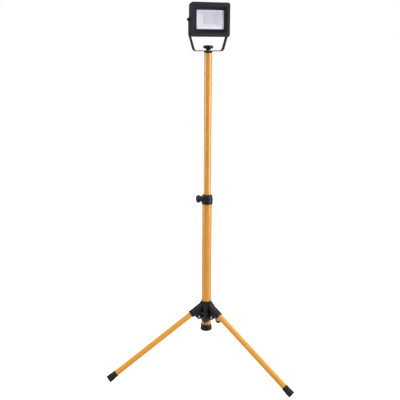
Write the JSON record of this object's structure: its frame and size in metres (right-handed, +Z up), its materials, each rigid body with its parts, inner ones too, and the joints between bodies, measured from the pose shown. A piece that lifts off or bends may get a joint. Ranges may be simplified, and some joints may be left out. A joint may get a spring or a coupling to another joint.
{
  "type": "work light",
  "caption": "LED floodlight in a U bracket with a tilt and pan joint, on a telescopic mast over folding tripod legs with rubber feet.",
  "frame": {"origin": "centre of the footprint of the three spread feet, on the ground", "axes": "+Z up along the mast, -Y the way the lamp faces, +X to the lamp's left-hand bracket arm as it looks out"},
  "size_m": [0.4501, 0.5166, 1.0227],
  "materials": {
    "orange_paint": "satin orange paint",
    "black_plastic": "moulded black plastic",
    "black_rubber": "matt black rubber",
    "zinc_steel": "bright zinc",
    "case_paint": "dark grey powder coat",
    "clear_glass": "clear toughened glass",
    "reflector_sheet": "bright sheet",
    "board_white": "white mask",
    "led_yellow": "pale yellow phosphor",
    "brass": "plain"
  },
  "bodies": {
    "stand": {"hub_core": "black_plastic", "hub_screws": "zinc_steel", "lower_tube": "orange_paint", "mast_end_cap": "black_plastic", "clamp_collar": "black_plastic", "clamp_nut": "zinc_steel"},
    "clamp_pad_slider": {"clamp_pad": "black_plastic"},
    "clamp_knob_turner": {"clamp_screw": "zinc_steel", "clamp_knob": "black_plastic"},
    "mast": {"upper_tube": "orange_paint", "guide_bush": "black_plastic", "mast_top_plug": "black_plastic", "stud_insert": "brass"},
    "washer_slider": {"knob_washer": "zinc_steel"},
    "head_knob_turner": {"head_knob": "black_plastic", "head_stud": "zinc_steel"},
    "yoke": {"bracket": "case_paint"},
    "head": {"tilt_bolts": "zinc_steel", "tilt_washers": "zinc_steel", "head_housing": "case_paint", "front_bezel": "case_paint", "housing_screws": "zinc_steel", "front_glass": "clear_glass", "glass_gasket": "black_rubber", "reflector": "reflector_sheet", "led_board": "board_white", "led_chips": "led_yellow", "gland_body": "black_plastic", "gland_seal": "black_rubber", "gland_nut": "black_plastic"},
    "leg_left": {"leg_holder_left": "black_plastic", "leg_tube_left": "orange_paint", "leg_foot_left": "black_rubber", "leg_pin_left": "zinc_steel"},
    "leg_right": {"leg_holder_right": "black_plastic", "leg_tube_right": "orange_paint", "leg_foot_right": "black_rubber", "leg_pin_right": "zinc_steel"},
    "leg_rear": {"leg_holder_rear": "black_plastic", "leg_tube_rear": "orange_paint", "leg_foot_rear": "black_rubber", "leg_pin_rear": "zinc_steel"}
  },
  "joints": [
    {"name": "leg_fold_left", "type": "hinge", "parent": "stand", "child": "leg_left", "pos_m": [0.04656, 0, 0.156], "axis": [0, -1, 0], "range_deg": [0, 57.5]},
    {"name": "leg_fold_right", "type": "hinge", "parent": "stand", "child": "leg_right", "pos_m": [0.08556, -0.02252, 0.156], "axis": [0.866, 0.5, 0], "range_deg": [0, 57.5]},
    {"name": "leg_fold_rear", "type": "hinge", "parent": "stand", "child": "leg_rear", "pos_m": [0.08556, 0.02252, 0.156], "axis": [-0.866, 0.5, 0], "range_deg": [0, 57.5]},
    {"name": "clamp_pad_slide", "type": "slide", "parent": "stand", "child": "clamp_pad_slider", "axis": [-0.9962, 0.0872, 0], "range_m": [0, 0.001]},
    {"name": "clamp_knob_turn", "type": "hinge", "parent": "clamp_pad_slider", "child": "clamp_knob_turner", "pos_m": [0.07256, 0, 0.499], "axis": [-0.9962, 0.0872, 0], "range_deg": [0, 360]},
    {"name": "mast_slide", "type": "slide", "parent": "stand", "child": "mast", "axis": [0, 0, 1], "range_m": [-0.32, 0]},
    {"name": "washer_slide", "type": "slide", "parent": "mast", "child": "washer_slider", "axis": [0, 0, 1], "range_m": [0, 0.005]},
    {"name": "head_knob_turn", "type": "hinge", "parent": "washer_slider", "child": "head_knob_turner", "pos_m": [0.07256, 0, 0.91295], "axis": [0, 0, 1], "range_deg": [0, 1440]},
    {"name": "head_pan", "type": "hinge", "parent": "mast", "child": "yoke", "pos_m": [0.07256, 0, 0.89895], "axis": [0, 0, 1], "range_deg": [-180, 180]},
    {"name": "head_tilt", "type": "hinge", "parent": "yoke", "child": "head", "pos_m": [0.07256, 0, 0.97895], "axis": [1, 0, 0], "range_deg": [-90, 4.5]}
  ],
  "couplings": [
    {"joint": "clamp_pad_slide", "follows": "clamp_knob_turn", "m_per_rad": 0.00015915},
    {"joint": "washer_slide", "follows": "head_knob_turn", "m_per_rad": 0.00019894}
  ]
}
